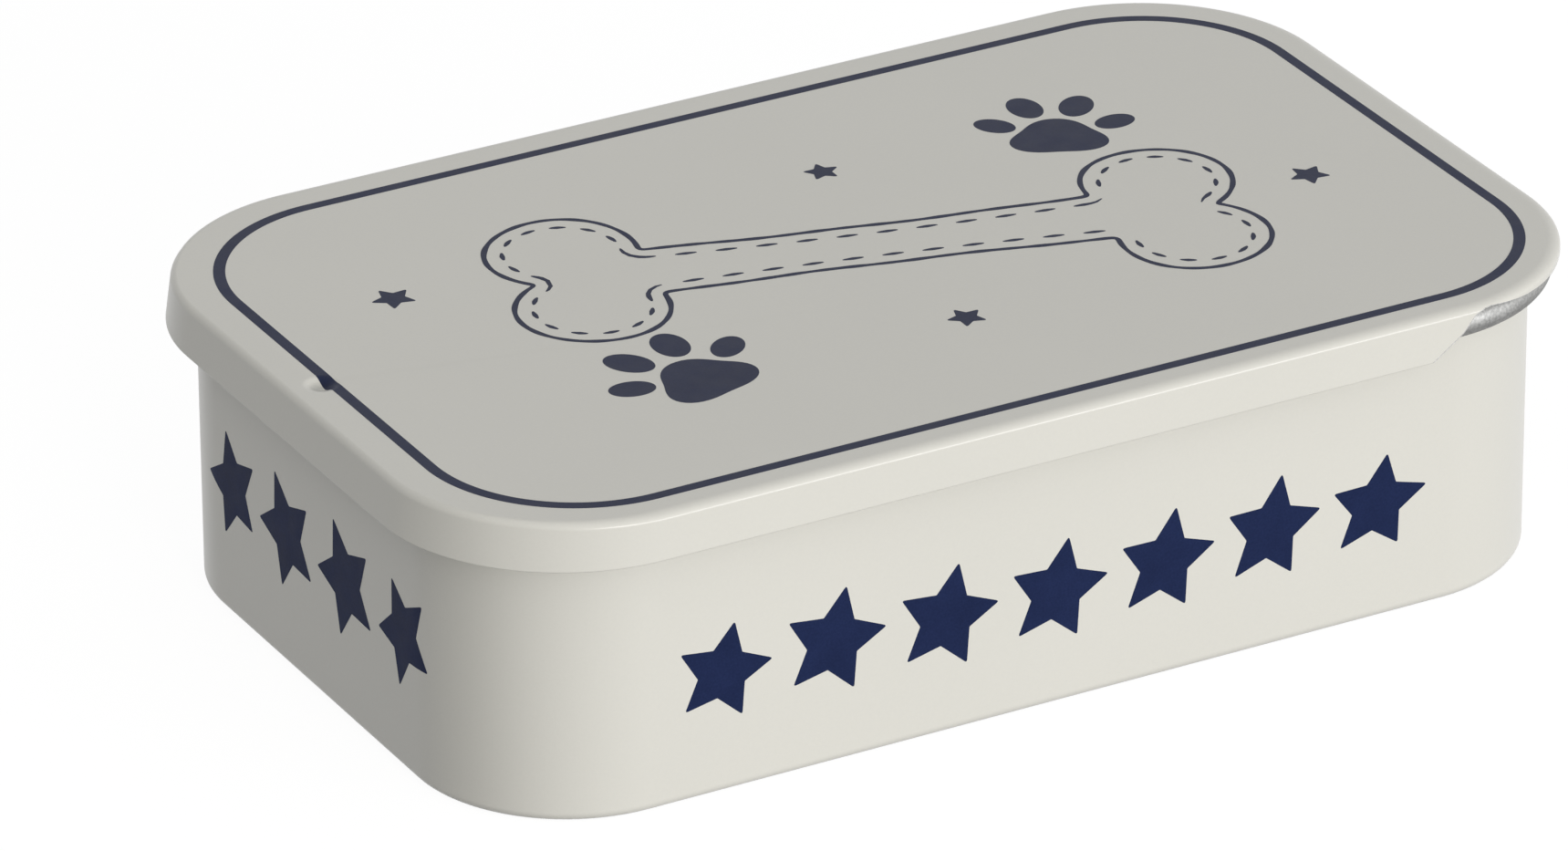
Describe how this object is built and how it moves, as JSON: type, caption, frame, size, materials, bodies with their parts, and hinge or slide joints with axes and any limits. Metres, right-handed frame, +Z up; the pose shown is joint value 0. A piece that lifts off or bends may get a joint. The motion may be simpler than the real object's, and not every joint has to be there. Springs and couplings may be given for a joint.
{
  "type": "hinged tin",
  "caption": "Flat rectangular tin with rounded corners, a curled rim and a hinged lid, painted cream with navy stars and a border line, for dog treats or keepsakes.",
  "frame": {"origin": "the middle of the base's underside, on the surface that the tin stands on", "axes": "+X runs along the tin to its hinge end, +Y across it to the rear, +Z up through the lid"},
  "size_m": [0.193, 0.122, 0.05],
  "materials": {
    "body_paint": "satin",
    "lid_paint": "satin",
    "navy_print": "satin",
    "bare_tinplate": "dull"
  },
  "bodies": {
    "tin": {"tin_body": "body_paint"},
    "cover": {"lid": "lid_paint"}
  },
  "joints": [
    {"name": "lid_hinge", "type": "hinge", "parent": "tin", "child": "cover", "pos_m": [0.0936, 0, 0.04665], "axis": [0, 1, 0], "range_deg": [0, 110]}
  ]
}
